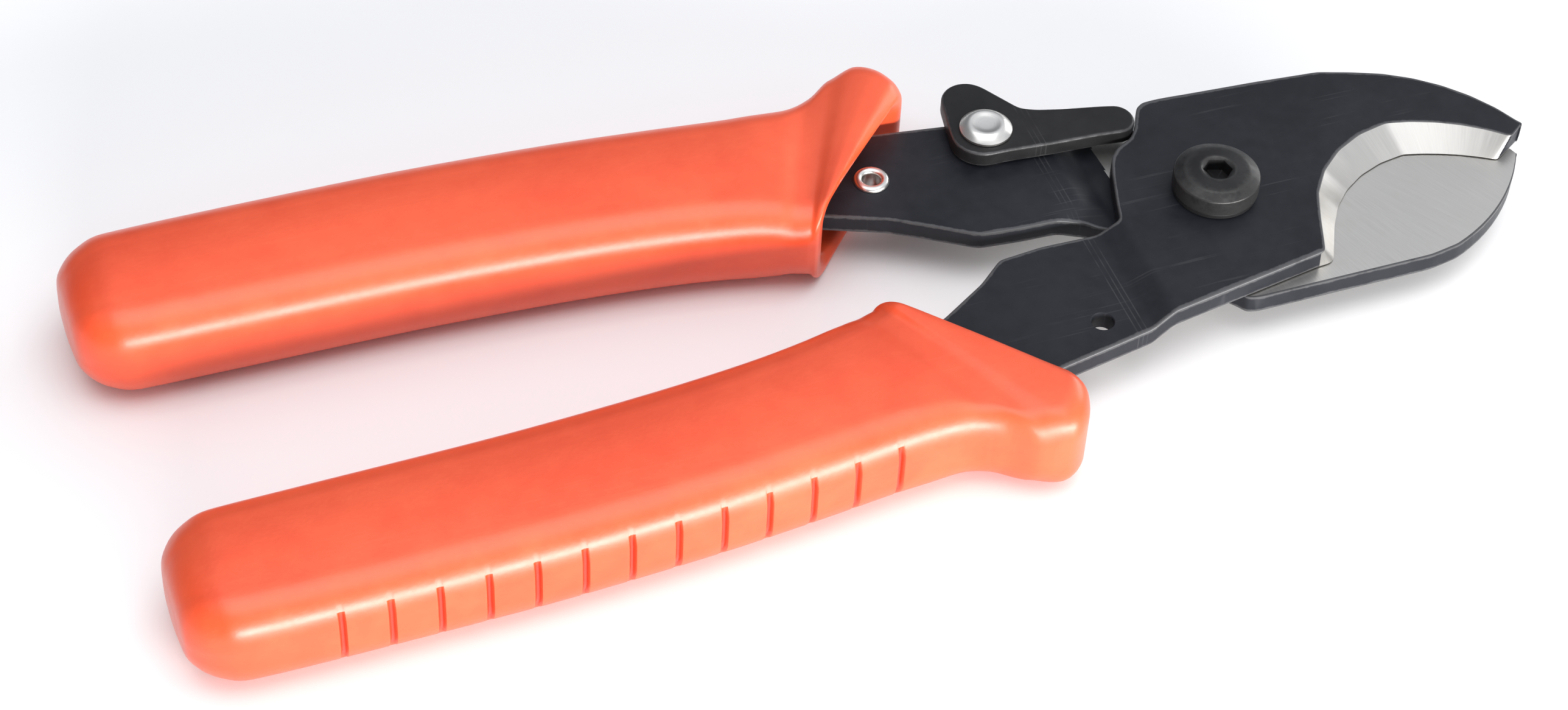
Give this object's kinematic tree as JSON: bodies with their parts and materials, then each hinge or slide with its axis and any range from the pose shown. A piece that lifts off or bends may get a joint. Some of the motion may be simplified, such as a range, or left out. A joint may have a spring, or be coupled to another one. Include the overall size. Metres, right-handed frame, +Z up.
{
  "type": "one-hand cable cutter",
  "caption": "One-hand cable cutter with curved shear jaws on one pivot bolt, joggled steel blades, moulded vinyl grips and a thumb latch that locks it shut.",
  "frame": {"origin": "centre of the bounding box on the plane that the grips rest on", "axes": "+X from the handle butts to the jaws, along the tool's length; +Y towards the latch side; +Z up, along the pivot bolt towards its head"},
  "size_m": [0.229, 0.0838, 0.0168],
  "materials": {
    "blackened_steel": "black oxide on stamped steel, satin, bare ground steel on the cutting bevels",
    "black_screw": "black oxide, turned, brighter on the rim",
    "orange_vinyl": "moulded orange-red vinyl, satin",
    "silver_rivet": "bright plated steel",
    "plain_steel": "zinc plated",
    "spring_wire": "oiled music wire",
    "white_nylon": "natural nylon"
  },
  "bodies": {
    "upper_handle": {"rear_blade": "blackened_steel", "upper_grip": "orange_vinyl", "pivot_bolt": "black_screw", "front_washer": "black_screw", "pivot_bushing": "plain_steel", "return_spring": "spring_wire", "rear_washer": "plain_steel", "lock_nut": "plain_steel", "nut_insert": "white_nylon", "latch_rivet": "silver_rivet", "latch_washer": "plain_steel", "latch_backing_washer": "plain_steel", "tang_eyelet": "silver_rivet"},
    "lower_handle": {"front_blade": "blackened_steel", "lower_grip": "orange_vinyl"},
    "latch": {"latch_lever": "blackened_steel"}
  },
  "joints": [
    {"name": "handle_hinge", "type": "hinge", "parent": "upper_handle", "child": "lower_handle", "pos_m": [0.06035, 0, 0.0084], "axis": [0, 0, 1], "range_deg": [0, 32], "deforming": ["return_spring"]},
    {"name": "latch_hinge", "type": "hinge", "parent": "upper_handle", "child": "latch", "pos_m": [0.03085, 0.0225, 0.0084], "axis": [0, 0, 1], "range_deg": [0, 52]}
  ],
  "couplings": [
    {"joint": "latch_hinge", "follows": "handle_hinge", "ratio": 1.6}
  ]
}
